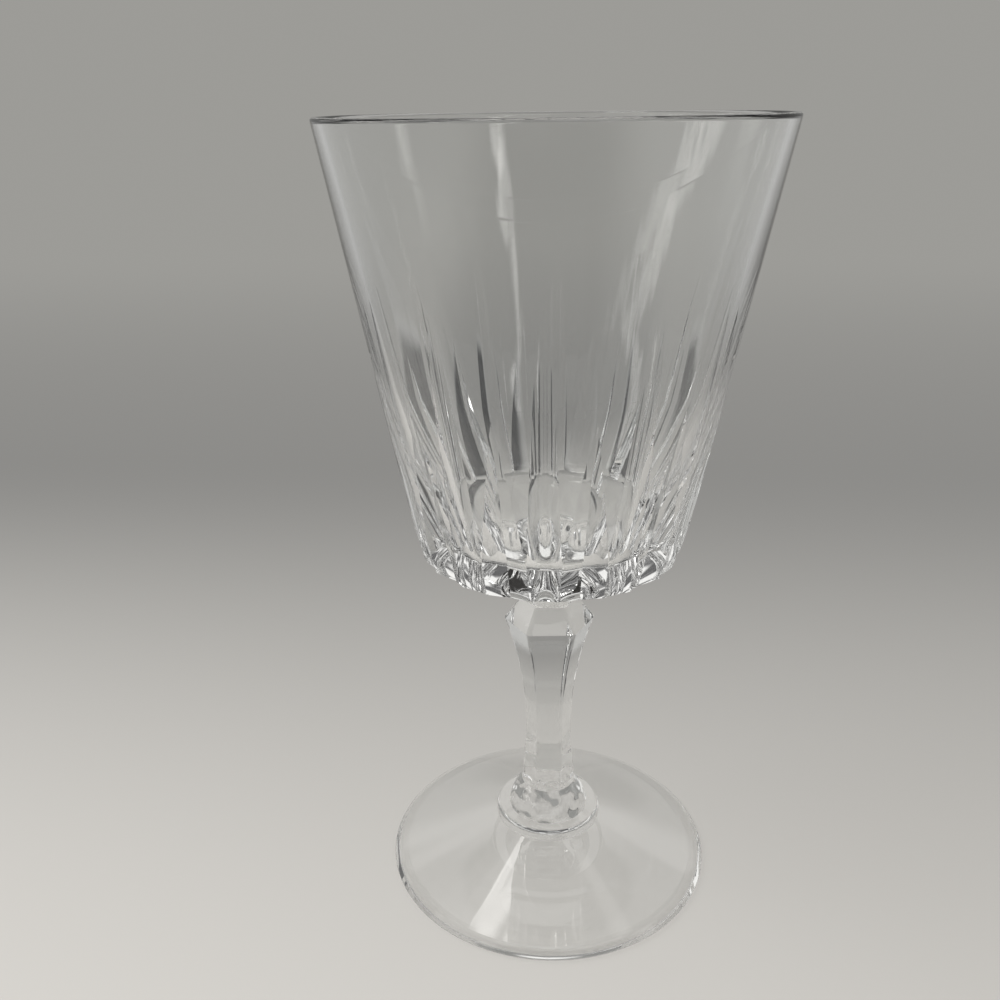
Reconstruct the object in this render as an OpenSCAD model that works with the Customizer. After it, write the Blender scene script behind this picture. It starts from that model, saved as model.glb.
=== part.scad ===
// Water goblet in clear cut crystal: a tapered bowl on a six-sided stem and a round foot.
// Millimetres, +Z up. The origin is the centre of the plane that the foot rests on.
// The pieces are fused face to face, in this order: foot, foot collar, base knop, stem, neck, bowl.

/* [Foot] */
// Diameter of the foot
foot_d = 74.8; // [66:0.2:84]
// Height of the foot, up to the collar that sits on it
foot_h = 10.9; // [8.5:0.1:14]
// Height of the foot's bevelled rim
foot_rim_h = 2.3; // [1.8:0.1:3]
// Width of the bevel round the foot's rim
foot_bevel_w = 1.7; // [1:0.1:2.4]
// Width of the flat ring that the foot rests on
rest_ring_w = 2.4; // [1.6:0.1:4]
// Height of the shallow hollow under the foot
foot_hollow_h = 4.6; // [2:0.1:5.4]

/* [Foot collar] */
// Diameter of the collar on the foot
collar_d = 24.4; // [21:0.2:30]
// Height of the collar
collar_h = 2.5; // [2.1:0.1:4]
// Rounding of the collar's upper edge
collar_round = 1; // [0.5:0.1:1.2]

/* [Base knop] */
// Diameter of the knop at its foot
knop_d = 18.5; // [16:0.1:20.5]
// Height of the knop
knop_h = 6.7; // [5:0.1:9]
// Radius of the knop's rounded side
knop_side_r = 16.5; // [12:0.5:30]

/* [Stem] */
// Height of the stem
stem_h = 48.1; // [40:0.1:60]
// Width across the flats of the stem's straight foot
stem_foot_w = 10.5; // [9.8:0.1:12]
// Width across the flats at the stem's waist
stem_waist_w = 9.2; // [7:0.1:9.6]
// Height of the waist above the stem's lower end
stem_waist_z = 15; // [13:0.1:18]
// Width across the flats at the stem's shoulder
stem_shoulder_w = 17.7; // [15:0.1:21]
// Height of the sloping shoulder faces at the top of the stem
stem_shoulder_h = 5; // [3:0.1:7]
// Turn of the stem's flats from the front
stem_turn = 3.5; // [0:0.5:30]

/* [Neck] */
// Diameter of the round neck where it meets the stem
neck_d = 11; // [9.6:0.1:12.4]
// Height of the straight part of the neck
neck_straight_h = 1.3; // [0.6:0.1:3]
// Radius of the neck's flare under the bowl
neck_flare_r = 5; // [4:0.1:8]
// Diameter of the neck where it meets the bowl
neck_top_d = 18; // [15:0.1:18.8]

/* [Bowl] */
// Diameter of the bowl at its rim
rim_d = 89; // [80:0.5:98]
// Thickness of the wall at the rim
rim_wall = 1.7; // [1.4:0.1:2.6]
// Diameter of the bowl's wall at the shoulder
base_d = 57.6; // [54:0.2:62]
// Height of the wall from the shoulder to the rim
wall_h = 83.8; // [70:0.2:96]
// Height of the shoulder between the wall and the bowl's lower edge
shoulder_h = 2.9; // [2:0.1:4.5]
// Width that the shoulder draws in
shoulder_w = 1.2; // [0.8:0.1:2.4]
// Height of the tapered underside, from the neck to the lower edge
underside_h = 7; // [4:0.1:10]
// Height above the inner floor where the wall starts to swell inwards
swell_h = 35; // [28:0.5:45]
// Thickness of the wall where it starts to swell
swell_wall = 3; // [2.4:0.1:3.4]
// Thickness of the wall where it meets the inner floor
floor_wall = 9; // [7.5:0.1:10.5]
// Thickness of the floor above the bowl's lower edge
floor_t = 4.8; // [3.6:0.1:7]
// Radius of the fillet round the inner floor
floor_fillet_r = 4.5; // [2:0.1:6]

/* [Cuts] */
// Number of tall flutes, with as many mitre cuts between them
cut_count = 12; // [8:1:14]
// Angle of the first tall flute
cut_turn = -2; // [-15:1:15]
// Height of the tall flutes above the bowl's lower edge
flute_h = 55; // [35:0.5:60]
// Depth of the tall flutes at the bowl's lower edge
flute_depth = 1.3; // [0.6:0.05:1.5]
// Radius of the round wheel that cuts the tall flutes
flute_wheel_r = 6.5; // [4:0.1:7.5]
// Height of the mitre cuts above the bowl's lower edge
mitre_h = 38; // [25:0.5:50]
// Depth of the mitre cuts at the bowl's lower edge
mitre_depth = 2.3; // [1.2:0.05:2.5]
// Angle between the two faces of a mitre cut
mitre_angle = 144; // [120:1:146]

/* [Hidden] */

// Overrun of every cutter past the surface that it cuts
overrun = 1;
// Margin of the knop's upper face round the stem's corners
knop_margin = 0.15;
// Margin of the foot's upper face round the collar
collar_margin = 0.2;
// Sides of the stem
sides = 6;
// Faces of the cutting wheel's rounded edge, if it were a full round
wheel_sides = 12;
// Facets of the round shapes in the preview
smooth = 96;

// Levels of the joins between the pieces, from the foot up
collar_z = foot_h;
knop_z = collar_z + collar_h;
stem_z = knop_z + knop_h;
neck_z = stem_z + stem_h;
flare_rise = sqrt(pow(neck_flare_r, 2) - pow(neck_d / 2 + neck_flare_r - neck_top_d / 2, 2));
bowl_z = neck_z + neck_straight_h + flare_rise;
edge_z = bowl_z + underside_h;
shoulder_z = edge_z + shoulder_h;
rim_z = shoulder_z + wall_h;
floor_z = edge_z + floor_t;
swell_z = floor_z + swell_h;

// Slopes of the bowl's two walls, as radius gained for each millimetre of height
outer_slope = (rim_d - base_d) / 2 / wall_h;
inner_slope = outer_slope + (swell_wall - rim_wall) / (rim_z - swell_z);

// Radius of the bowl's outer wall at a height
function outer_r(z) = base_d / 2 + outer_slope * (z - shoulder_z);

// Radius of the straight part of the bowl's inner wall at a height
function inner_r(z) = rim_d / 2 - rim_wall - inner_slope * (rim_z - z);

// Centre of the arc of radius r that bulges away from the axis between points a and b
function arc_centre(a, b, r) =
    let (mid = (a + b) / 2)
    let (half = norm(b - a) / 2)
    let (back = sqrt(r * r - half * half) / (2 * half))
    mid + back * [a[1] - b[1], b[0] - a[0]];

// A wide cone with a bevelled rim, resting on a flat ring round a shallow hollow
module foot()
{
    rim_r = foot_d / 2;
    inner_ring_r = rim_r - foot_bevel_w - rest_ring_w;
    color("gainsboro")
    rotate_extrude($fn = smooth)
    polygon([
        [0, foot_hollow_h],
        [inner_ring_r, 0],
        [rim_r - foot_bevel_w, 0],
        [rim_r, foot_rim_h / 3],
        [rim_r, foot_rim_h / 2],
        [rim_r - foot_bevel_w, foot_rim_h],
        [collar_d / 2 + collar_margin, foot_h],
        [0, foot_h]
    ]);
}

// A round disc whose upper edge is rounded
module foot_collar()
{
    collar_r = collar_d / 2;
    color("lightgray")
    translate([0, 0, collar_z])
    rotate_extrude($fn = smooth)
    {
        square([collar_r - collar_round, collar_h]);
        square([collar_r, collar_h - collar_round]);
        translate([collar_r - collar_round, collar_h - collar_round])
            intersection() {
                circle(r = collar_round, $fn = smooth);
                square(collar_round);
            }
    }
}

// A button with two flat faces; its side is an arc that narrows upwards to the stem's corners
module base_knop()
{
    stem_corner_r = stem_foot_w / 2 / cos(180 / sides);
    top = [stem_corner_r + knop_margin, knop_h];
    low = [knop_d / 2, 0];
    centre = arc_centre(low, top, knop_side_r);
    color("silver")
    translate([0, 0, knop_z])
    rotate_extrude($fn = smooth)
    {
        polygon([[0, 0], low, top, [0, knop_h]]);
        intersection() {
            translate(centre) circle(r = knop_side_r, $fn = 4 * smooth);
            square([knop_d, knop_h]);
        }
    }
}

// What is ground away outside one of the stem's faces: a long hollow, the straight foot below it,
// and the slope from the shoulder to the neck
module face_cut()
{
    half_waist = stem_waist_w / 2;
    shoulder_y = stem_h - stem_shoulder_h;
    shoulder_slope = (stem_shoulder_w - neck_d) / 2 / stem_shoulder_h;
    run = shoulder_y - stem_waist_z;
    gain = stem_shoulder_w / 2 - half_waist;
    hollow_r = (run * run + gain * gain) / 2 / gain;
    intersection() {
        translate([half_waist + hollow_r, stem_waist_z]) circle(r = hollow_r, $fn = 4 * smooth);
        translate([0, -overrun]) square([stem_shoulder_w, stem_h + 2 * overrun]);
    }
    translate([stem_foot_w / 2, -overrun]) square([stem_shoulder_w, stem_waist_z]);
    polygon([
        [stem_shoulder_w / 2 + overrun * shoulder_slope, shoulder_y - overrun],
        [stem_shoulder_w, shoulder_y - overrun],
        [stem_shoulder_w, stem_h + overrun],
        [neck_d / 2 - overrun * shoulder_slope, stem_h + overrun]
    ]);
}

// A six-sided blank that is ground away along each of its faces
module stem()
{
    blank_r = (stem_shoulder_w / 2 + overrun) / cos(180 / sides);
    color("aliceblue")
    translate([0, 0, stem_z])
    rotate([0, 0, stem_turn])
    difference() {
        rotate([0, 0, 180 / sides]) cylinder(r = blank_r, h = stem_h, $fn = sides);
        for (side = [0 : sides - 1])
            rotate([0, 0, side * 360 / sides - 90])
            rotate([90, 0, 0])
            translate([0, 0, -stem_shoulder_w])
            linear_extrude(2 * stem_shoulder_w) face_cut();
    }
}

// A short round neck that flares out to the bowl's underside
module neck()
{
    neck_r = neck_d / 2;
    height = neck_straight_h + flare_rise;
    color("lightsteelblue")
    translate([0, 0, neck_z])
    rotate_extrude($fn = smooth)
    difference() {
        square([neck_top_d / 2, height]);
        translate([neck_r + neck_flare_r, neck_straight_h]) circle(r = neck_flare_r, $fn = smooth);
        translate([neck_r, -overrun])
            square([neck_top_d, neck_straight_h + overrun]);
    }
}

// The bowl before it is cut: underside, shoulder and wall, with a rounded rim
module bowl_blank()
{
    rim_round = rim_wall / 2;
    rotate_extrude($fn = smooth)
    {
        polygon([
            [0, bowl_z],
            [neck_top_d / 2, bowl_z],
            [base_d / 2 - shoulder_w, edge_z],
            [base_d / 2, shoulder_z],
            [outer_r(rim_z - rim_round), rim_z - rim_round],
            [0, rim_z - rim_round]
        ]);
        translate([rim_d / 2 - rim_round, rim_z - rim_round]) circle(r = rim_round, $fn = smooth);
    }
}

// The space inside the bowl: a straight wall, then a long arc down to a fillet round the floor.
// The arc leaves the straight wall without a corner, so both its ends give its radius.
module bowl_cavity()
{
    lean = atan(inner_slope);
    top = [inner_r(swell_z), swell_z];
    chord = [outer_r(floor_z) - floor_wall, floor_z] - top;
    inward = [-cos(lean), sin(lean)];
    swell_r = chord * chord / (2 * chord * inward);
    centre = top + swell_r * inward;
    fillet_z = floor_z + floor_fillet_r;
    reach = swell_r - floor_fillet_r;
    fillet_x = centre[0] + sqrt(reach * reach - pow(fillet_z - centre[1], 2));
    meet = centre + ([fillet_x, fillet_z] - centre) * swell_r / reach;
    rotate_extrude($fn = smooth)
    {
        polygon([
            [0, floor_z],
            [fillet_x, floor_z],
            meet,
            top,
            [inner_r(rim_z - rim_wall / 2), rim_z - rim_wall / 2],
            [0, rim_z - rim_wall / 2]
        ]);
        intersection() {
            translate(centre) circle(r = swell_r, $fn = 4 * smooth);
            translate([0, meet[1]]) square([rim_d, swell_z - meet[1]]);
        }
        translate([fillet_x, fillet_z]) circle(r = floor_fillet_r, $fn = smooth);
    }
}

// Carries a cutter to the line that it follows: from the given depth at the lower edge
// of the bowl up to the wall's own surface at the given height
module along_wall(height, depth)
{
    low_r = outer_r(edge_z) - depth;
    lean = atan((outer_r(edge_z + height) - low_r) / height);
    start = overrun + depth;
    translate([low_r, 0, edge_z])
    rotate([0, lean, 0])
    translate([0, 0, -start])
    linear_extrude(start + height / cos(lean) + wall_h / 2)
        children();
}

// Rounded grooves: the wheel's edge leaves the wall at the flute's tip
module tall_flutes()
{
    for (cut = [0 : cut_count - 1])
        rotate([0, 0, cut_turn - 90 + cut * 360 / cut_count])
        along_wall(flute_h, flute_depth)
        translate([flute_wheel_r * cos(180 / wheel_sides), 0])
        rotate(180 / wheel_sides)
        circle(r = flute_wheel_r, $fn = wheel_sides);
}

// V grooves between the flutes: shorter, wider and deeper
module mitre_cuts()
{
    wheel = 1.2 * mitre_depth;
    half_w = wheel * tan(mitre_angle / 2);
    for (cut = [0 : cut_count - 1])
        rotate([0, 0, cut_turn - 90 + (cut + 1 / 2) * 360 / cut_count])
        along_wall(mitre_h, mitre_depth)
        polygon([[0, 0], [wheel, -half_w], [wheel, half_w]]);
}

// The cut and hollow bowl
module bowl()
{
    color("azure")
    difference() {
        bowl_blank();
        bowl_cavity();
        tall_flutes();
        mitre_cuts();
    }
}

foot();
foot_collar();
base_knop();
stem();
neck();
bowl();
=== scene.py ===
# %% [markdown]
# A water goblet in clear cut crystal, dressed for a studio picture.
#
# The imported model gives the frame: six pieces of glass, fused face to face, with their real sizes.
# Glass shows every facet of its mesh, because light bends at each one, so every piece is modelled
# again here with many more steps round its axis. Each new piece keeps its node's outline and place,
# but for slightly softer edges.

# %% Load the frame
import math

import bmesh
import bpy
from mathutils import Matrix, Vector


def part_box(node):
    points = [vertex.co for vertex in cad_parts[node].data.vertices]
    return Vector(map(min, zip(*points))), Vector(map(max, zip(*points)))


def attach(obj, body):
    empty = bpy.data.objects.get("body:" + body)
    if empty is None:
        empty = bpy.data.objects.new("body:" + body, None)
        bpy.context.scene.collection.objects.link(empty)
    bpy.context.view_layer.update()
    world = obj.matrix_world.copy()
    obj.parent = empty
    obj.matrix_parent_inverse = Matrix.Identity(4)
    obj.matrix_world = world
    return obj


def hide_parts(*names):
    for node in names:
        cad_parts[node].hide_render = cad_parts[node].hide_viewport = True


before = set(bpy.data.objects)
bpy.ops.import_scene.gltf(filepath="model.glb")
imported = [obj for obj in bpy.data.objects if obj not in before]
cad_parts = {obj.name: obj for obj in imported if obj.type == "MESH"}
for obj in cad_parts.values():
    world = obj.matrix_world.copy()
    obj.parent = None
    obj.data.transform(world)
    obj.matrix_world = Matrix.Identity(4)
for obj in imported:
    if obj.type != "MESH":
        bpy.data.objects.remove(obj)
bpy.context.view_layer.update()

MM = 0.001

# %% [markdown]
# The pieces stand on each other along one axis, so a piece is known by its two levels and its radius.
# They are read from the frame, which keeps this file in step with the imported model. Sizes inside a
# piece, such as a rounding or the depth of a cut, are named where the piece is made.

# %% Measure the pieces


def level(node):
    """Lowest and highest level of a node."""
    low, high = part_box(node)
    return low.z, high.z


def reach(node):
    """Largest radius of a node that is round."""
    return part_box(node)[1].x


FOOT_R = reach("foot")
COLLAR_R = reach("foot_collar")
KNOP_R = reach("base_knop")
NECK_TOP_R = reach("neck")
RIM_R = reach("bowl")
COLLAR_Z = level("foot_collar")[0]
KNOP_Z = level("base_knop")[0]
STEM_Z, NECK_Z = level("stem")
BOWL_Z, RIM_Z = level("bowl")
print("joins in mm:", [round(z / MM, 2) for z in (COLLAR_Z, KNOP_Z, STEM_Z, NECK_Z, BOWL_Z, RIM_Z)])

# %% [markdown]
# The photograph looks down on the goblet from close by, which makes the bowl much larger than the
# foot. A camera behaves the same way, so its place matters more than its focal length: it stands
# as far away and as high as the ellipses of the rim and the foot say.

# %% Camera
CAMERA_PLACE = (0, -196.2 * MM, 170.2 * MM)
CAMERA_PITCH = math.radians(-21.92)
CAMERA_HEADING = math.radians(3.13)
CAMERA_ROLL = math.radians(-0.71)
SENSOR_WIDTH_MM = 36
FOCAL_LENGTH_MM = 35.67

camera_data = bpy.data.cameras.new("camera")
camera_data.sensor_width = SENSOR_WIDTH_MM
camera_data.lens = FOCAL_LENGTH_MM
camera = bpy.data.objects.new("camera", camera_data)
camera.matrix_world = (
    Matrix.Translation(CAMERA_PLACE)
    @ Matrix.Rotation(CAMERA_HEADING, 4, "Z")
    @ Matrix.Rotation(math.radians(90) + CAMERA_PITCH, 4, "X")
    @ Matrix.Rotation(CAMERA_ROLL, 4, "Z")
)
bpy.context.scene.collection.objects.link(camera)
bpy.context.scene.camera = camera
print("camera looks along", [round(c, 3) for c in camera.matrix_world.to_3x3() @ Vector((0, 0, -1))])

# %% [markdown]
# Clear glass has no colour of its own. What the eye sees is its surroundings, bent and mirrored, so
# the room is part of the finish. A few small helpers keep the node trees short. They add a node with
# its settings, calculate with a Math node, fade between two values of a coordinate, blend two
# colours, and tell one kind of light ray from another.

# %% Node helpers


def add_node(tree, kind, **settings):
    """A new node of a tree, with its settings and the values of its sockets."""
    node = tree.nodes.new(kind)
    for name, value in settings.items():
        if name in node.inputs:
            node.inputs[name].default_value = value
        else:
            setattr(node, name, value)
    return node


def new_material(name):
    """A material with an empty node tree, and its output node."""
    material = bpy.data.materials.new(name)
    material.use_nodes = True
    material.node_tree.nodes.clear()
    return material, add_node(material.node_tree, "ShaderNodeOutputMaterial")


def calculate(tree, operation, *values):
    """A Math node. Numbers are set on its sockets and anything else is linked."""
    node = add_node(tree, "ShaderNodeMath", operation=operation)
    for socket, value in zip(node.inputs, values):
        if isinstance(value, (int, float)):
            socket.default_value = value
        else:
            tree.links.new(value, socket)
    return node.outputs[0]


def fade(tree, value, start, end):
    """A smooth step from 0 at start to 1 at end, in whichever direction they lie."""
    step = add_node(tree, "ShaderNodeMapRange", interpolation_type="SMOOTHSTEP")
    tree.links.new(value, step.inputs["Value"])
    step.inputs["From Min"].default_value = start
    step.inputs["From Max"].default_value = end
    return step.outputs["Result"]


def blend(tree, factor, first, second):
    """Blends two colours, each of them a constant or the output of a node."""
    mix = add_node(tree, "ShaderNodeMix", data_type="RGBA")
    tree.links.new(factor, mix.inputs["Factor"])
    for colour, socket in ((first, mix.inputs[6]), (second, mix.inputs[7])):
        if isinstance(colour, tuple):
            socket.default_value = colour
        else:
            tree.links.new(colour, socket)
    return mix.outputs[2]


def ray_of_kind(tree, first, second):
    """1 for a light ray of either kind, and 0 for any other."""
    path = add_node(tree, "ShaderNodeLightPath")
    either = add_node(tree, "ShaderNodeMath", operation="ADD", use_clamp=True)
    tree.links.new(path.outputs[first], either.inputs[0])
    tree.links.new(path.outputs[second], either.inputs[1])
    return either.outputs[0]


def glass_ray(tree):
    """1 for a ray that the glass has mirrored or bent, and 0 for any other."""
    return ray_of_kind(tree, "Is Glossy Ray", "Is Transmission Ray")


print("helpers ready")

# %% [markdown]
# A window is an oval of light in the wall of the room. Its azimuth is counted from the camera's
# side towards the right, like the soft box's below. It can lean, and its edge is soft, because real
# windows have curtains and frames. All windows share this one node group.

# %% Window group
WINDOW_SOCKETS = ("Azimuth", "Elevation", "Half Width", "Half Height", "Edge", "Lean")
HALF_TURN = 180


def make_window_group():
    """A soft-edged oval window in the room's wall, placed by azimuth and elevation in degrees.

    Lean is how many degrees it moves aside for each degree of elevation.
    """
    group = bpy.data.node_groups.new("soft_window", "ShaderNodeTree")
    sockets = group.interface
    sockets.new_socket("Direction", in_out="INPUT", socket_type="NodeSocketVector")
    for name in WINDOW_SOCKETS:
        sockets.new_socket(name, in_out="INPUT", socket_type="NodeSocketFloat")
    sockets.new_socket("Mask", in_out="OUTPUT", socket_type="NodeSocketFloat")
    link = group.links.new
    inputs = add_node(group, "NodeGroupInput")
    outputs = add_node(group, "NodeGroupOutput")
    axes = add_node(group, "ShaderNodeSeparateXYZ")
    link(inputs.outputs["Direction"], axes.inputs[0])
    nearer = calculate(group, "MULTIPLY", axes.outputs["Y"], -1)
    azimuth = calculate(group, "DEGREES", calculate(group, "ARCTAN2", axes.outputs["X"], nearer))
    elevation = calculate(group, "DEGREES", calculate(group, "ARCSINE", axes.outputs["Z"]))
    above = calculate(group, "SUBTRACT", elevation, inputs.outputs["Elevation"])
    leaned = calculate(group, "MULTIPLY", above, inputs.outputs["Lean"])
    middle = calculate(group, "ADD", inputs.outputs["Azimuth"], leaned)
    aside = calculate(group, "SUBTRACT", azimuth, middle)
    aside = calculate(group, "WRAP", aside, HALF_TURN, -HALF_TURN)
    across = calculate(group, "DIVIDE", aside, inputs.outputs["Half Width"])
    along = calculate(group, "DIVIDE", above, inputs.outputs["Half Height"])
    across_squared = calculate(group, "POWER", calculate(group, "ABSOLUTE", across), 2)
    along_squared = calculate(group, "POWER", calculate(group, "ABSOLUTE", along), 2)
    outward = calculate(group, "SQRT", calculate(group, "ADD", across_squared, along_squared))
    edge = add_node(group, "ShaderNodeMapRange", interpolation_type="SMOOTHSTEP")
    link(outward, edge.inputs["Value"])
    edge.inputs["From Min"].default_value = 1
    link(calculate(group, "SUBTRACT", 1, inputs.outputs["Edge"]), edge.inputs["From Max"])
    link(edge.outputs["Result"], outputs.inputs["Mask"])
    return group


WINDOW = make_window_group()
print(WINDOW.name, "has", len(WINDOW.nodes), "nodes")

# %% [markdown]
# The world holds three things. The camera sees a plain grey backdrop. The goblet and the floor are
# lit by an even, soft light. Only rays that have met the glass see the room: an even grey that is
# paler on the left and darker behind the camera, the windows in it, and overhead a crisp patchwork
# of dark and pale. The windows' mirror images are the long streaks on the bowl, and they are bent a
# little, as curtains are. The patchwork gives the cut facets their dark and bright glints.

# %% World
BACKDROP_LOW = (0.262, 0.258, 0.248, 1)
BACKDROP_HIGH = (0.335, 0.330, 0.312, 1)
ROOM_LIGHT = 0.55
WARM_WHITE = (1, 0.985, 0.96, 1)
ROOM_GREY = (0.27, 0.27, 0.26, 1)
ROOM_LEFT = (0.55, 0.55, 0.54, 1)
ROOM_LEFT_FADE = (-0.3, -0.95)
ROOM_NEAR = (0.14, 0.14, 0.14, 1)
ROOM_NEAR_FADE = (-0.7, -0.95)
CEILING_DARK = (0.11, 0.11, 0.112, 1)
CEILING_PALE = (1.0, 0.99, 0.97, 1)
CEILING_START = (0.34, 0.50)
PATCH_SCALE = 1.7
PATCH_EDGE = (0.44, 0.51)
CURTAIN_SCALE = 9.0
CURTAIN_BEND = 0.13
NOISE_MIDDLE = (0.5, 0.5, 0.5)
WINDOWS = [
    # azimuth, elevation, half width, half height, edge, lean, strength
    (33, 17.5, 6, 4, 0.8, 0, 4.5),
    (27, 12, 4.5, 6, 0.9, 0.6, 2.6),
    (23, 5, 3.5, 6, 0.9, 0.4, 1.6),
    (95, 14, 8, 7, 0.9, 0.5, 1.5),
    (-82, 11.5, 18, 10, 0.8, -5, 2.8),
    (-130, 12, 14, 12, 0.9, 0, 0.6),
    (-122, 71, 17, 8, 0.6, 0, 4.6),
    (-124, 66, 15, 2.2, 0.5, 0, 2.0),
]


def make_room(tree):
    """The room that the glass sees: walls, ceiling and windows. Returns a shader output."""
    link = tree.links.new
    direction = add_node(tree, "ShaderNodeTexCoord").outputs["Generated"]
    axes = add_node(tree, "ShaderNodeSeparateXYZ")
    link(direction, axes.inputs[0])
    patches = add_node(tree, "ShaderNodeTexNoise", Scale=PATCH_SCALE, Detail=2.0, Roughness=0.5)
    link(direction, patches.inputs["Vector"])
    ceiling = blend(tree, fade(tree, patches.outputs[0], *PATCH_EDGE), CEILING_DARK, CEILING_PALE)
    walls = blend(tree, fade(tree, axes.outputs["X"], *ROOM_LEFT_FADE), ROOM_GREY, ROOM_LEFT)
    walls = blend(tree, fade(tree, axes.outputs["Y"], *ROOM_NEAR_FADE), walls, ROOM_NEAR)
    everything = blend(tree, fade(tree, axes.outputs["Z"], *CEILING_START), walls, ceiling)
    room = add_node(tree, "ShaderNodeBackground")
    link(everything, room.inputs["Color"])
    curtain = add_node(tree, "ShaderNodeTexNoise", Scale=CURTAIN_SCALE, Detail=1.0)
    centred = add_node(tree, "ShaderNodeVectorMath", operation="SUBTRACT")
    centred.inputs[1].default_value = NOISE_MIDDLE
    bent = add_node(tree, "ShaderNodeVectorMath", operation="MULTIPLY_ADD")
    bent.inputs[1].default_value = (CURTAIN_BEND,) * 3
    link(direction, curtain.inputs["Vector"])
    link(curtain.outputs["Color"], centred.inputs[0])
    link(centred.outputs[0], bent.inputs[0])
    link(direction, bent.inputs[2])
    shader = room.outputs[0]
    for *shape, strength in WINDOWS:
        window = add_node(tree, "ShaderNodeGroup", node_tree=WINDOW)
        for name, value in zip(WINDOW_SOCKETS, shape):
            window.inputs[name].default_value = value
        light = add_node(tree, "ShaderNodeBackground", Color=WARM_WHITE)
        both = add_node(tree, "ShaderNodeAddShader")
        link(bent.outputs[0], window.inputs["Direction"])
        link(calculate(tree, "MULTIPLY", window.outputs["Mask"], strength), light.inputs["Strength"])
        link(shader, both.inputs[0])
        link(light.outputs[0], both.inputs[1])
        shader = both.outputs[0]
    return shader


world = bpy.data.worlds.new("studio")
bpy.context.scene.world = world
world.use_nodes = True
tree = world.node_tree
tree.nodes.clear()
link = tree.links.new
output = add_node(tree, "ShaderNodeOutputWorld")
backdrop = add_node(tree, "ShaderNodeBackground", Color=BACKDROP_HIGH)
soft_light = add_node(tree, "ShaderNodeBackground", Color=WARM_WHITE, Strength=ROOM_LIGHT)
lit_or_glass = add_node(tree, "ShaderNodeMixShader")
seen = add_node(tree, "ShaderNodeMixShader")
link(glass_ray(tree), lit_or_glass.inputs["Fac"])
link(soft_light.outputs[0], lit_or_glass.inputs[1])
link(make_room(tree), lit_or_glass.inputs[2])
link(add_node(tree, "ShaderNodeLightPath").outputs["Is Camera Ray"], seen.inputs["Fac"])
link(lit_or_glass.outputs[0], seen.inputs[1])
link(backdrop.outputs[0], seen.inputs[2])
link(seen.outputs[0], output.inputs["Surface"])
print(len(WINDOWS), "windows in a world of", len(tree.nodes), "nodes")

# %% [markdown]
# The goblet stands on a pale sheet, which fades into the backdrop behind it. Some places on the
# sheet look different through the glass, although the camera never sees them by itself. A darker
# stretch of the sheet in front of the picture's lower edge and two strips of painted shade behind the
# goblet draw dark lines along the cuts, and pale stretches far out at both sides, painted light that
# glows, light the bowl's outline.

# %% Floor
FLOOR_R = 40.0
FLOOR_STEPS = 96
FLOOR_COLOUR = (0.60, 0.59, 0.57, 1)
SHEET_FADE = (-0.15, 0.28)
BACKDROP_RISE = (0.15, 1.0)
# A darker stretch of the sheet in front of the picture's lower edge, seen only through the glass.
NEAR_DARK_COLOUR = (0.10, 0.10, 0.10, 1)
NEAR_DARK_FAR = (-0.09, -0.12)
NEAR_DARK_NEAR = (-0.55, -0.40)
NEAR_DARK_ASIDE = (0.34, 0.16)
# Painted light: pale stretches far out at both sides glow for the glass alone.
SIDE_COLOUR = (0.52, 0.52, 0.51, 1)
SIDE_SLANT = 0.48
SIDE_EDGE = (0.05, 0.25)
SIDE_START = (0.25, 0.45)
# Painted shade: two dark strips on the sheet behind the goblet, seen only through the glass.
SHADE_STRIP_COLOUR = (0.07, 0.07, 0.07, 1)
SHADE_STRIP_SLANT = 0.22
SHADE_STRIP_SOFT = 0.02
SHADE_STRIP_NEAR = (0.07, 0.10)
SHADE_STRIP_FAR = (0.50, 0.38)
SHADE_STRIPS = [  # side, nearer edge and farther edge from the middle line
    (-1, 0.0, 0.085),
    (1, 0.02, 0.07),
]


def hidden_places(tree, place, axes):
    """What only the glass sees on the floor, with its painted shade and light: a colour, and a mask of
    where it lies.
    """

    def overlap(first, second):
        """Where two masks overlap."""
        return calculate(tree, "MULTIPLY", first, second)

    depth = axes.outputs["Y"]
    aside = calculate(tree, "ABSOLUTE", axes.outputs["X"])
    # A darker stretch of the sheet in front.
    near_dark = overlap(fade(tree, depth, *NEAR_DARK_FAR), fade(tree, depth, *NEAR_DARK_NEAR))
    near_dark = overlap(near_dark, fade(tree, aside, *NEAR_DARK_ASIDE))
    outward = add_node(tree, "ShaderNodeVectorMath", operation="LENGTH")
    tree.links.new(place, outward.inputs[0])
    # Painted light: a pale glow far out at both sides.
    spread = calculate(tree, "SUBTRACT", aside, calculate(tree, "MULTIPLY", depth, SIDE_SLANT))
    far_out = fade(tree, outward.outputs["Value"], *SIDE_START)
    sides = overlap(fade(tree, spread, *SIDE_EDGE), far_out)
    colour = blend(tree, near_dark, SIDE_COLOUR, NEAR_DARK_COLOUR)
    mask = calculate(tree, "MAXIMUM", near_dark, sides)
    # Painted shade: dark strips on the sheet behind the goblet.
    behind = overlap(fade(tree, depth, *SHADE_STRIP_NEAR), fade(tree, depth, *SHADE_STRIP_FAR))
    slant = calculate(tree, "MULTIPLY", depth, SHADE_STRIP_SLANT)
    for side, inner, outer in SHADE_STRIPS:
        sideways = calculate(tree, "MULTIPLY", axes.outputs["X"], side)
        across = calculate(tree, "SUBTRACT", sideways, slant)
        shade_strip = overlap(fade(tree, across, inner, inner + SHADE_STRIP_SOFT),
                       fade(tree, across, outer, outer - SHADE_STRIP_SOFT))
        shade_strip = overlap(shade_strip, behind)
        colour = blend(tree, shade_strip, colour, SHADE_STRIP_COLOUR)
        mask = calculate(tree, "MAXIMUM", mask, shade_strip)
    return colour, mask


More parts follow.
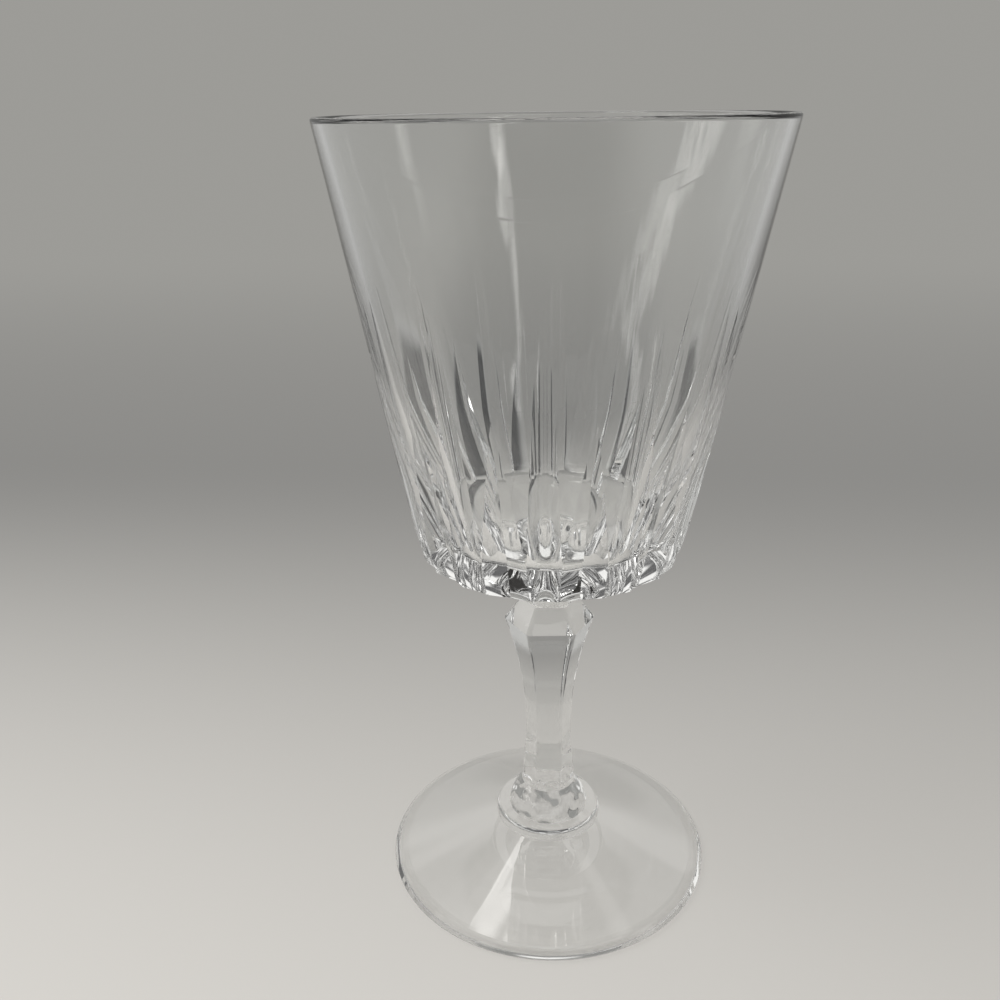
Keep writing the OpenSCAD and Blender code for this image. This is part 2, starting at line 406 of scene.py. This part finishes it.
def make_floor():
    """A wide pale sheet that fades into the backdrop behind the goblet, with no horizon to see."""
    bm = bmesh.new()
    bmesh.ops.create_circle(bm, cap_ends=True, segments=FLOOR_STEPS, radius=FLOOR_R)
    mesh = bpy.data.meshes.new("floor")
    bm.to_mesh(mesh)
    bm.free()
    material, output = new_material("floor_sheet")
    tree = material.node_tree
    link = tree.links.new
    place = add_node(tree, "ShaderNodeTexCoord").outputs["Object"]
    axes = add_node(tree, "ShaderNodeSeparateXYZ")
    link(place, axes.inputs[0])
    sheet = add_node(tree, "ShaderNodeBsdfDiffuse", Color=FLOOR_COLOUR)
    far = add_node(tree, "ShaderNodeEmission")
    mix = add_node(tree, "ShaderNodeMixShader")
    # An emission that shows the glass the dark stretch in front, the painted shade and the painted
    # light.
    aside = add_node(tree, "ShaderNodeEmission")
    hidden_colour, hidden_mask = hidden_places(tree, place, axes)
    seen = add_node(tree, "ShaderNodeMixShader")
    rise = fade(tree, axes.outputs["Y"], *BACKDROP_RISE)
    link(blend(tree, rise, BACKDROP_LOW, BACKDROP_HIGH), far.inputs["Color"])
    link(fade(tree, axes.outputs["Y"], *SHEET_FADE), mix.inputs["Fac"])
    link(sheet.outputs[0], mix.inputs[1])
    link(far.outputs[0], mix.inputs[2])
    link(hidden_colour, aside.inputs["Color"])
    link(calculate(tree, "MULTIPLY", hidden_mask, glass_ray(tree)), seen.inputs["Fac"])
    link(mix.outputs[0], seen.inputs[1])
    link(aside.outputs[0], seen.inputs[2])
    link(seen.outputs[0], output.inputs["Surface"])
    mesh.materials.append(material)
    floor = bpy.data.objects.new("floor", mesh)
    bpy.context.scene.collection.objects.link(floor)
    return floor


print("floor spans", [round(d) for d in make_floor().dimensions.xy], "m")

# %% [markdown]
# One soft box lights the sheet and the goblet from above and from the left. The glass doesn't see
# it, because its own windows are in the world.

# %% Soft box
GOBLET_MIDDLE = Vector((0, 0, RIM_Z / 2))


def soft_box(name, azimuth, elevation, distance, size, power):
    """A rectangular lamp that faces the goblet. Azimuth 0 is the camera's side and 90 its right."""
    turn, lift = math.radians(azimuth), math.radians(elevation)
    away = Vector((math.sin(turn) * math.cos(lift), -math.cos(turn) * math.cos(lift), math.sin(lift)))
    data = bpy.data.lights.new(name, "AREA")
    data.shape = "RECTANGLE"
    data.size, data.size_y = size
    data.energy = power
    data.color = WARM_WHITE[:3]
    lamp = bpy.data.objects.new(name, data)
    lamp.location = GOBLET_MIDDLE + away * distance
    lamp.rotation_euler = away.to_track_quat("Z", "Y").to_euler()
    lamp.visible_camera = False
    lamp.visible_glossy = False
    lamp.visible_transmission = False
    bpy.context.scene.collection.objects.link(lamp)
    print(name, "at", [round(c, 2) for c in lamp.location])


soft_box("key", azimuth=-85, elevation=44, distance=1.3, size=(0.9, 0.6), power=16.5)

# %% [markdown]
# Blown, pressed and polished glass is almost perfectly smooth, but not quite: its surface rolls by
# a few hundredths of a millimetre over a centimetre or so, and handling leaves a faint film. Both
# effects serve every piece, so they are one node group, which puts out a height and a roughness. The
# knop alone has much higher waves, for the reason given there.

# %% Surface group
FILM_FINENESS = 2.3
FILM_PATCHES = (0.45, 0.75)


def make_surface_group():
    """Slow waves in the surface and a thin film of handling, on Object coordinates."""
    group = bpy.data.node_groups.new("polished_surface", "ShaderNodeTree")
    sockets = group.interface
    for name, default in (("Wave Size", 14.0), ("Film", 0.02), ("Seed", 0.0)):
        made = sockets.new_socket(name, in_out="INPUT", socket_type="NodeSocketFloat")
        made.default_value = default
    for name in ("Height", "Roughness"):
        sockets.new_socket(name, in_out="OUTPUT", socket_type="NodeSocketFloat")
    link = group.links.new
    inputs = add_node(group, "NodeGroupInput")
    outputs = add_node(group, "NodeGroupOutput")
    place = add_node(group, "ShaderNodeTexCoord")
    per_metre = calculate(group, "DIVIDE", 1 / MM, inputs.outputs["Wave Size"])
    waves = add_node(group, "ShaderNodeTexNoise", noise_dimensions="4D", Detail=1.0, Roughness=0.4)
    film_noise = add_node(group, "ShaderNodeTexNoise", noise_dimensions="4D", Detail=4.0, Roughness=0.6)
    film_mask = add_node(group, "ShaderNodeMapRange")
    film_mask.inputs["From Min"].default_value = FILM_PATCHES[0]
    film_mask.inputs["From Max"].default_value = FILM_PATCHES[1]
    link(place.outputs["Object"], waves.inputs["Vector"])
    link(per_metre, waves.inputs["Scale"])
    link(inputs.outputs["Seed"], waves.inputs["W"])
    link(waves.outputs[0], outputs.inputs["Height"])
    link(place.outputs["Object"], film_noise.inputs["Vector"])
    link(calculate(group, "MULTIPLY", per_metre, FILM_FINENESS), film_noise.inputs["Scale"])
    link(inputs.outputs["Seed"], film_noise.inputs["W"])
    link(film_noise.outputs[0], film_mask.inputs["Value"])
    film = calculate(group, "MULTIPLY", film_mask.outputs["Result"], inputs.outputs["Film"])
    link(film, outputs.inputs["Roughness"])
    return group


SURFACE = make_surface_group()
print(SURFACE.name, "has", len(SURFACE.nodes), "nodes")

# %% [markdown]
# The glass itself is a Principled shader with full transmission. Lamps don't pass through a
# refracting shader on their way to the floor, which would leave a black shadow. So shadow rays, and
# the soft light that the floor gathers, meet a nearly clear surface instead. Where two pieces are
# fused there is no surface at all: light goes straight on, so those two faces have a fully
# transparent finish.

# %% Crystal and joins
CRYSTAL_IOR = 1.53
CRYSTAL_TINT = (0.968, 0.972, 0.968, 1)
SHADOW_TINT = (0.95, 0.95, 0.95, 1)


def crystal(name, wave_height, wave_size, film, seed):
    """Clear glass with slow surface waves of a height and size in millimetres."""
    material, output = new_material(name)
    tree = material.node_tree
    link = tree.links.new
    glass = add_node(tree, "ShaderNodeBsdfPrincipled")
    glass.inputs["Base Color"].default_value = CRYSTAL_TINT
    glass.inputs["Metallic"].default_value = 0
    glass.inputs["IOR"].default_value = CRYSTAL_IOR
    glass.inputs["Transmission Weight"].default_value = 1
    surface = add_node(tree, "ShaderNodeGroup", node_tree=SURFACE)
    surface.inputs["Wave Size"].default_value = wave_size
    surface.inputs["Film"].default_value = film
    surface.inputs["Seed"].default_value = seed
    bump = add_node(tree, "ShaderNodeBump", Strength=1, Distance=wave_height * MM)
    clear = add_node(tree, "ShaderNodeBsdfTransparent", Color=SHADOW_TINT)
    mix = add_node(tree, "ShaderNodeMixShader")
    link(surface.outputs["Roughness"], glass.inputs["Roughness"])
    link(surface.outputs["Height"], bump.inputs["Height"])
    link(bump.outputs["Normal"], glass.inputs["Normal"])
    link(ray_of_kind(tree, "Is Shadow Ray", "Is Diffuse Ray"), mix.inputs["Fac"])
    link(glass.outputs[0], mix.inputs[1])
    link(clear.outputs[0], mix.inputs[2])
    link(mix.outputs[0], output.inputs["Surface"])
    return material


def make_join():
    """The finish of two faces that are fused, where there is nothing to see."""
    material, output = new_material("fused_join")
    tree = material.node_tree
    nothing = add_node(tree, "ShaderNodeBsdfPrincipled", Alpha=0)
    tree.links.new(nothing.outputs[0], output.inputs["Surface"])
    return material


JOIN = make_join()
print("crystal with an index of", CRYSTAL_IOR, "and", JOIN.name)

# %% [markdown]
# Every round piece is turned: half of its outline stands on the axis and is spun round it, as a
# glassmaker turns the hot glass on an iron. The outline has only its corners, and a vertex bevel
# softens those that the fire or the polishing wheel has rounded. Hundreds of steps round the axis
# keep the glass from showing flats.

# %% Turning helpers
ROUND_STEPS = 384
MERGE = 0.0001 * MM
SOFT_SEGMENTS = 6


def outline(bm, corners, softened=()):
    """Draws half an outline from (radius, height) corners. softened lists (corner, reach, segments)."""
    points = [bm.verts.new((r, 0, z)) for r, z in corners]
    for start, end in zip(points, points[1:]):
        bm.edges.new((start, end))
    for corner, length, segments in softened:
        bmesh.ops.bevel(bm, geom=[points[corner]], offset=length, offset_type="OFFSET",
                        segments=segments, profile=0.5, affect="VERTICES", material=-1)


def arc(start, end, radius, steps):
    """Points of an arc from start to end, both left out. A negative radius hollows the outline."""
    start, end = Vector(start), Vector(end)
    half = (end - start) / 2
    inward = Vector((-half.y, half.x)).normalized()
    centre = start + half + inward * math.copysign(math.sqrt(radius ** 2 - half.length ** 2), radius)
    first, last = start - centre, end - centre
    swing = first.angle_signed(last)
    return [centre + Matrix.Rotation(-swing * i / steps, 2) @ first for i in range(1, steps)]


def turn_about_axis(bm):
    """Spins everything in bm round the goblet's axis and closes the seam and the poles."""
    bmesh.ops.spin(bm, geom=bm.verts[:] + bm.edges[:], cent=(0, 0, 0), axis=(0, 0, 1), dvec=(0, 0, 0),
                   angle=math.tau, steps=ROUND_STEPS, use_merge=True, use_duplicate=False)
    bmesh.ops.remove_doubles(bm, verts=bm.verts, dist=MERGE)


print("a turned piece has", ROUND_STEPS, "steps round the axis")

# %% [markdown]
# Three more helpers finish a piece. One finds the flat faces that are fused to the next piece, and
# gives them the join's material slot. One turns the bmesh into an object, and the last polishes it
# and lets it ride on the frame. Weighted normals keep a large polished face flat right up to its
# softened edge.

# %% Finishing helpers
JOIN_NEAR = 0.01 * MM
TURNED_SHARP = 12
CUT_SHARP = 5


def mark_join(bm, z, radius):
    """Gives the faces of a flat disc at a level the join's material slot."""
    for face in bm.faces:
        if all(abs(v.co.z - z) < JOIN_NEAR and v.co.xy.length < radius + JOIN_NEAR for v in face.verts):
            face.material_index = 1


def add_object(bm, name):
    """A new object with bm's mesh, at the origin. Frees bm."""
    mesh = bpy.data.meshes.new(name)
    bmesh.ops.recalc_face_normals(bm, faces=bm.faces)
    bm.to_mesh(mesh)
    bm.free()
    made = bpy.data.objects.new(name, mesh)
    bpy.context.scene.collection.objects.link(made)
    return made


def finish_piece(piece, node, material, sharp_degrees):
    """Polishes a piece, lets it ride on the frame and hides its node."""
    mesh = piece.data
    mesh.materials.append(material)
    mesh.materials.append(JOIN)
    mesh.polygons.foreach_set("use_smooth", [True] * len(mesh.polygons))
    mesh.set_sharp_from_angle(angle=math.radians(sharp_degrees))
    weighted = piece.modifiers.new("weighted", "WEIGHTED_NORMAL")
    weighted.keep_sharp = True
    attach(piece, "root")
    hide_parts(node)
    measure = bmesh.new()
    measure.from_mesh(mesh)
    open_edges = sum(not edge.is_manifold for edge in measure.edges)
    volume = measure.calc_volume(signed=True) / MM ** 3
    measure.free()
    print(piece.name, len(mesh.polygons), "faces,", round(volume), "mm3,", open_edges, "open edges")


print("edges stay sharp from", CUT_SHARP, "degrees on cut pieces and", TURNED_SHARP, "on turned ones")

# %% [markdown]
# The foot is a wide cone that was pressed from a disc of hot glass. Its rim is bevelled above and
# below, and it rests on a narrow ring round a shallow hollow.

# %% Foot
FOOT_RIM_H = 2.3 * MM
FOOT_BEVEL = 1.7 * MM
REST_RING = 2.4 * MM
HOLLOW_H = 4.6 * MM
LEDGE = 0.2 * MM
RING_INNER_SOFT = 0.5 * MM
RING_OUTER_SOFT = 0.3 * MM
EDGE_LOWER_SOFT = 0.35 * MM
EDGE_UPPER_SOFT = 0.19 * MM
BEVEL_SOFT = 0.5 * MM

bm = bmesh.new()
outline(bm, [
    (0, HOLLOW_H),
    (FOOT_R - FOOT_BEVEL - REST_RING, 0),
    (FOOT_R - FOOT_BEVEL, 0),
    (FOOT_R, FOOT_RIM_H / 3),
    (FOOT_R, FOOT_RIM_H / 2),
    (FOOT_R - FOOT_BEVEL, FOOT_RIM_H),
    (COLLAR_R + LEDGE, COLLAR_Z),
    (COLLAR_R, COLLAR_Z),
    (0, COLLAR_Z),
], softened=[
    (1, RING_INNER_SOFT, SOFT_SEGMENTS),
    (2, RING_OUTER_SOFT, SOFT_SEGMENTS),
    (3, EDGE_LOWER_SOFT, SOFT_SEGMENTS),
    (4, EDGE_UPPER_SOFT, SOFT_SEGMENTS),
    (5, BEVEL_SOFT, SOFT_SEGMENTS),
])
turn_about_axis(bm)
mark_join(bm, COLLAR_Z, COLLAR_R)
foot_crystal = crystal("foot_crystal", wave_height=0.05, wave_size=11, film=0.03, seed=1.0)
finish_piece(add_object(bm, "foot_glass"), "foot", foot_crystal, TURNED_SHARP)

# %% [markdown]
# A disc of glass, which glassmakers call a merese, was dropped on the foot before the knop. Its
# upper edge ran soft in the fire.

# %% Foot collar
COLLAR_SOFT = 1.0 * MM
COLLAR_SEGMENTS = 12

bm = bmesh.new()
outline(bm, [
    (0, COLLAR_Z),
    (COLLAR_R, COLLAR_Z),
    (COLLAR_R, KNOP_Z),
    (KNOP_R, KNOP_Z),
    (0, KNOP_Z),
], softened=[(2, COLLAR_SOFT, COLLAR_SEGMENTS)])
turn_about_axis(bm)
mark_join(bm, COLLAR_Z, COLLAR_R)
mark_join(bm, KNOP_Z, KNOP_R)
collar_crystal = crystal("collar_crystal", wave_height=0.03, wave_size=7, film=0.02, seed=2.0)
finish_piece(add_object(bm, "collar_glass"), "foot_collar", collar_crystal, TURNED_SHARP)

# %% [markdown]
# The stem has six sides. A glass cutter holds each side against a large wheel, which leaves it
# hollow along its length, widest at the shoulder. Here the same form grows upwards from a hexagon:
# the edges of its outline are extruded level by level, and each level is scaled to the width that
# the wheel leaves there. The corners of the hexagon are softened once, before it grows.

# %% Six-sided stem
SIDES = 6
STEM_FOOT_W = 10.5 * MM
STEM_WAIST_W = 9.2 * MM
STEM_WAIST_H = 15 * MM
STEM_SHOULDER_W = 17.7 * MM
STEM_SHOULDER_H = 5 * MM
STEM_TURN = math.radians(3.5)
CORNER_SHARE = 0.045
CORNER_SEGMENTS = 4
NECK_R = 5.5 * MM
NECK_INSET = 0.04 * MM
HOLLOW_LEVELS = 36
HALVINGS = 40


def hexagon(bm, width, z):
    """A flat face with six sides and softened corners, width across its flats."""
    corner_r = width / 2 / math.cos(math.pi / SIDES)
    ring = bmesh.ops.create_circle(bm, cap_ends=True, segments=SIDES, radius=corner_r)
    turn = Matrix.Rotation(STEM_TURN + math.pi / SIDES, 4, "Z")
    bmesh.ops.transform(bm, matrix=Matrix.Translation((0, 0, z)) @ turn, verts=ring["verts"])
    face = ring["verts"][0].link_faces[0]
    bmesh.ops.bevel(bm, geom=ring["verts"], offset=CORNER_SHARE * width, offset_type="OFFSET",
                    segments=CORNER_SEGMENTS, profile=0.5, affect="VERTICES", material=-1)
    return next(f for f in bm.faces
                if len(f.verts) >= CORNER_SEGMENTS * SIDES and abs(f.verts[0].co.z - z) < MERGE)


def hollow_width(height):
    """Width across the flats that the wheel leaves at a height above the stem's lower end."""
    run = NECK_Z - STEM_Z - STEM_SHOULDER_H - STEM_WAIST_H
    gain = (STEM_SHOULDER_W - STEM_WAIST_W) / 2
    wheel_r = (run ** 2 + gain ** 2) / 2 / gain
    return STEM_WAIST_W + 2 * (wheel_r - math.sqrt(wheel_r ** 2 - (height - STEM_WAIST_H) ** 2))


def crease_height():
    """Height at which the hollow runs out into the stem's straight foot, by halving."""
    low, high = 0, STEM_WAIST_H
    for _ in range(HALVINGS):
        middle = (low + high) / 2
        if hollow_width(middle) > STEM_FOOT_W:
            low = middle
        else:
            high = middle
    return low


crease = crease_height()
shoulder = NECK_Z - STEM_Z - STEM_SHOULDER_H
stem_levels = [(crease, STEM_FOOT_W)]
for i in range(1, HOLLOW_LEVELS + 1):
    h = crease + (shoulder - crease) * i / HOLLOW_LEVELS
    stem_levels.append((h, hollow_width(h)))
stem_levels.append((NECK_Z - STEM_Z, 2 * NECK_R))

bm = bmesh.new()
foot_face = hexagon(bm, STEM_FOOT_W, STEM_Z)
ring = foot_face.edges[:]
width = STEM_FOOT_W
for h, new_width in stem_levels:
    grown = bmesh.ops.extrude_edge_only(bm, edges=ring)["geom"]
    verts = [g for g in grown if isinstance(g, bmesh.types.BMVert)]
    touching = {edge for v in verts for edge in v.link_edges}
    ring = [edge for edge in touching if edge.verts[0] in verts and edge.verts[1] in verts]
    bmesh.ops.scale(bm, vec=(new_width / width, new_width / width, 1), verts=verts)
    for v in verts:
        v.co.z = STEM_Z + h
    width = new_width
neck_ring = bmesh.ops.create_circle(bm, cap_ends=True, segments=ROUND_STEPS, radius=NECK_R - NECK_INSET)
bmesh.ops.translate(bm, vec=(0, 0, NECK_Z), verts=neck_ring["verts"])
neck_face = neck_ring["verts"][0].link_faces[0]
bmesh.ops.triangle_fill(bm, edges=ring + neck_face.edges[:], use_beauty=True, normal=(0, 0, 1))
foot_face.material_index = 1
neck_face.material_index = 1
widest = 2 * max(v.co.xy.length for v in bm.verts)
print("crease at", round(crease / MM, 2), "mm, widest", round(widest / MM, 2), "mm")
stem_crystal = crystal("stem_crystal", wave_height=0.02, wave_size=9, film=0.015, seed=3.0)
finish_piece(add_object(bm, "stem_glass"), "stem", stem_crystal, CUT_SHARP)

# %% [markdown]
# The knop is a button of glass with a gently rounded side. Its upper face carries the stem, so the
# face has a six-sided join inside its round edge: the two outlines are drawn at one level, and the
# space between them is filled. The photographed knop breaks its reflections into small glints, which
# this plain form doesn't give. They come from a bump of 1.5 mm in its finish, far more than polished
# glass has, and not from its shape.

# %% Base knop
KNOP_SIDE_R = 16.5 * MM
KNOP_MARGIN = 0.15 * MM
KNOP_STEPS = 24
KNOP_TOP_R = STEM_FOOT_W / 2 / math.cos(math.pi / SIDES) + KNOP_MARGIN

bm = bmesh.new()
outline(bm, [(0, KNOP_Z), (KNOP_R, KNOP_Z)]
        + arc((KNOP_R, KNOP_Z), (KNOP_TOP_R, STEM_Z), KNOP_SIDE_R, KNOP_STEPS)
        + [(KNOP_TOP_R, STEM_Z)])
turn_about_axis(bm)
rim = [edge for edge in bm.edges if edge.is_boundary]
join = hexagon(bm, STEM_FOOT_W, STEM_Z)
bmesh.ops.triangle_fill(bm, edges=rim + join.edges[:], use_beauty=True, normal=(0, 0, 1))
join.material_index = 1
mark_join(bm, KNOP_Z, KNOP_R)
knop_crystal = crystal("knop_crystal", wave_height=1.5, wave_size=4, film=0.02, seed=4.0)
finish_piece(add_object(bm, "knop_glass"), "base_knop", knop_crystal, TURNED_SHARP)

# %% [markdown]
# The neck leaves the stem as a short cylinder and flares out to the underside of the bowl.

# %% Neck
NECK_STRAIGHT_H = 1.3 * MM
NECK_FLARE_R = 5 * MM
FLARE_STEPS = 16

flare_start = (NECK_R - NECK_INSET, NECK_Z + NECK_STRAIGHT_H)
bm = bmesh.new()
outline(bm, [(0, NECK_Z), (NECK_R - NECK_INSET, NECK_Z), flare_start]
        + arc(flare_start, (NECK_TOP_R, BOWL_Z), -NECK_FLARE_R, FLARE_STEPS)
        + [(NECK_TOP_R, BOWL_Z), (0, BOWL_Z)])
turn_about_axis(bm)
mark_join(bm, NECK_Z, NECK_R)
mark_join(bm, BOWL_Z, NECK_TOP_R)
neck_crystal = crystal("neck_crystal", wave_height=0.02, wave_size=6, film=0.015, seed=5.0)
finish_piece(add_object(bm, "neck_glass"), "neck", neck_crystal, TURNED_SHARP)

# %% [markdown]
# The bowl is turned first, as a plain tapered cup whose thin wall swells below to thick glass, which
# leaves room for deep cuts. Its outline runs up the outer wall, round the softened rim and down the
# inner wall to the floor. Two rings of edges divide the outer wall just above the cuts' tips.

# %% Plain bowl
UNDERSIDE_H = 7 * MM
SHOULDER_H = 2.9 * MM
SHOULDER_IN = 1.2 * MM
BASE_R = 28.8 * MM
RIM_WALL = 1.7 * MM
SWELL_WALL = 3.0 * MM
SWELL_H = 35 * MM
FLOOR_WALL = 9.0 * MM
FLOOR_T = 4.8 * MM
FLOOR_FILLET_R = 4.5 * MM
EDGE_Z = BOWL_Z + UNDERSIDE_H
SHOULDER_Z = EDGE_Z + SHOULDER_H
FLOOR_Z = EDGE_Z + FLOOR_T
SWELL_Z = FLOOR_Z + SWELL_H
PLAIN_RING_HEIGHTS = (56 * MM, 58 * MM)
RIM_SOFT = 0.8 * MM
RIM_SEGMENTS = 10
SWELL_STEPS = 48
FILLET_STEPS = 16


def wall_r(z):
    """Radius of the bowl's outer wall at a level."""
    return BASE_R + (RIM_R - BASE_R) * (z - SHOULDER_Z) / (RIM_Z - SHOULDER_Z)


def inner_bottom():
    """Outline of the bowl's inside below its straight wall: a long arc, a fillet and the floor."""
    top = Vector((wall_r(SWELL_Z) - SWELL_WALL, SWELL_Z))
    low = Vector((wall_r(FLOOR_Z) - FLOOR_WALL, FLOOR_Z))
    wall = Vector((RIM_R - RIM_WALL, RIM_Z)) - top
    inward = Vector((-wall.y, wall.x)).normalized()
    chord = low - top
    swell_r = chord.length_squared / 2 / chord.dot(inward)
    centre = top + swell_r * inward
    fillet_z = FLOOR_Z + FLOOR_FILLET_R
    inner_r = swell_r - FLOOR_FILLET_R
    fillet_x = centre.x + math.sqrt(inner_r ** 2 - (fillet_z - centre.y) ** 2)
    meet = centre + (Vector((fillet_x, fillet_z)) - centre) * swell_r / inner_r
    floor_start = (fillet_x, FLOOR_Z)
    print("swell radius", round(swell_r / MM, 1), "mm, floor radius", round(fillet_x / MM, 2), "mm")
    return ([top] + arc(top, meet, -swell_r, SWELL_STEPS) + [meet]
            + arc(meet, floor_start, -FLOOR_FILLET_R, FILLET_STEPS) + [floor_start])


bm = bmesh.new()
outline(bm, [
    (0, BOWL_Z),
    (NECK_TOP_R, BOWL_Z),
    (BASE_R - SHOULDER_IN, EDGE_Z),
    (BASE_R, SHOULDER_Z),
    *[(wall_r(EDGE_Z + h), EDGE_Z + h) for h in PLAIN_RING_HEIGHTS],
    (RIM_R, RIM_Z),
    (RIM_R - RIM_WALL, RIM_Z),
    *inner_bottom(),
    (0, FLOOR_Z),
], softened=[(6, RIM_SOFT, RIM_SEGMENTS), (7, RIM_SOFT, RIM_SEGMENTS)])
turn_about_axis(bm)
mark_join(bm, BOWL_Z, NECK_TOP_R)
bowl = add_object(bm, "bowl_glass")

# %% [markdown]
# Cutting comes after, in the order of the real work: a round-edged wheel leaves twelve tall flutes,
# and a V-edged wheel leaves a shorter, deeper mitre cut between each pair. Each wheel runs along a
# straight line that starts inside the wall at the lower edge and leaves the wall at the cut's tip.
# Booleans make the cuts, because their true crossing lines, the arched tips and the scalloped lower
# edge, come of themselves.

# %% Cutting wheels
CUT_COUNT = 12
CUT_TURN = math.radians(-2)
FLUTE_H = 55 * MM
FLUTE_DEPTH = 1.3 * MM
FLUTE_WHEEL_R = 6.5 * MM
MITRE_H = 38 * MM
MITRE_DEPTH = 2.3 * MM
MITRE_ANGLE = math.radians(144)
WHEEL_STEPS = 96
RUN_BELOW = 3 * MM
RUN_ABOVE = 100 * MM


def wheel_path(number, height, depth):
    """Frame of a cut: its z runs along the cut's line and its x points away from the axis."""
    low_r = wall_r(EDGE_Z) - depth
    lean = math.atan((wall_r(EDGE_Z + height) - low_r) / height)
    turn = CUT_TURN - math.pi / 2 + number * math.tau / CUT_COUNT
    middle = (RUN_ABOVE - RUN_BELOW) / 2
    return (
        Matrix.Rotation(turn, 4, "Z")
        @ Matrix.Translation((low_r, 0, EDGE_Z))
        @ Matrix.Rotation(lean, 4, "Y")
        @ Matrix.Translation((0, 0, middle))
    )


def flute_wheels():
    """Round bars that lie in the flutes."""
    bm = bmesh.new()
    aside = Matrix.Translation((FLUTE_WHEEL_R, 0, 0))
    for number in range(CUT_COUNT):
        bmesh.ops.create_cone(bm, cap_ends=True, segments=WHEEL_STEPS, radius1=FLUTE_WHEEL_R,
                              radius2=FLUTE_WHEEL_R, depth=RUN_ABOVE + RUN_BELOW,
                              matrix=wheel_path(number, FLUTE_H, FLUTE_DEPTH) @ aside)
    return add_object(bm, "flute_wheels")


def mitre_wheels():
    """Square bars on edge, flattened so that two of their sides meet at the mitre's angle."""
    bm = bmesh.new()
    aside = Matrix.Translation((MITRE_DEPTH, 0, 0))
    flatten = Matrix.Diagonal((1, math.tan(MITRE_ANGLE / 2), 1, 1))
    on_edge = Matrix.Rotation(math.pi / 4, 4, "Z")
    side = MITRE_DEPTH * math.sqrt(2)
    bar = Matrix.Diagonal((side, side, RUN_ABOVE + RUN_BELOW, 1))
    for number in range(CUT_COUNT):
        path = wheel_path(number + 1 / 2, MITRE_H, MITRE_DEPTH)
        bmesh.ops.create_cube(bm, size=1, matrix=path @ aside @ flatten @ on_edge @ bar)
    return add_object(bm, "mitre_wheels")


def cut_with(piece, wheels):
    """Takes the wheels' shape out of a piece and removes the wheels."""
    cut = piece.modifiers.new("cut", "BOOLEAN")
    cut.operation = "DIFFERENCE"
    cut.solver = "EXACT"
    cut.object = wheels
    depsgraph = bpy.context.evaluated_depsgraph_get()
    mesh = bpy.data.meshes.new_from_object(piece.evaluated_get(depsgraph))
    piece.modifiers.clear()
    plain = piece.data
    piece.data = mesh
    mesh.name = plain.name
    bpy.data.meshes.remove(plain)
    bpy.data.objects.remove(wheels)
    print(piece.name, "has", len(mesh.polygons), "faces after a cut")


# %% Cut the bowl
cut_with(bowl, flute_wheels())
cut_with(bowl, mitre_wheels())
bowl_crystal = crystal("bowl_crystal", wave_height=0.03, wave_size=24, film=0.015, seed=6.0)
finish_piece(bowl, "bowl", bowl_crystal, CUT_SHARP)

# %% [markdown]
# The picture keeps colours as they are written, so the view transform is Standard. Light crosses
# many surfaces on its way through the stem, so it is allowed many bounces, and bright caustics,
# which would only add noise, are left out.

# %% Picture settings
GLASS_BOUNCES = 32
MIRROR_BOUNCES = 16

scene = bpy.context.scene
scene.view_settings.view_transform = "Standard"
scene.cycles.max_bounces = GLASS_BOUNCES
scene.cycles.transmission_bounces = GLASS_BOUNCES
scene.cycles.glossy_bounces = MIRROR_BOUNCES
scene.cycles.transparent_max_bounces = GLASS_BOUNCES
scene.cycles.caustics_refractive = False
scene.cycles.caustics_reflective = False
print("light crosses up to", GLASS_BOUNCES, "surfaces")
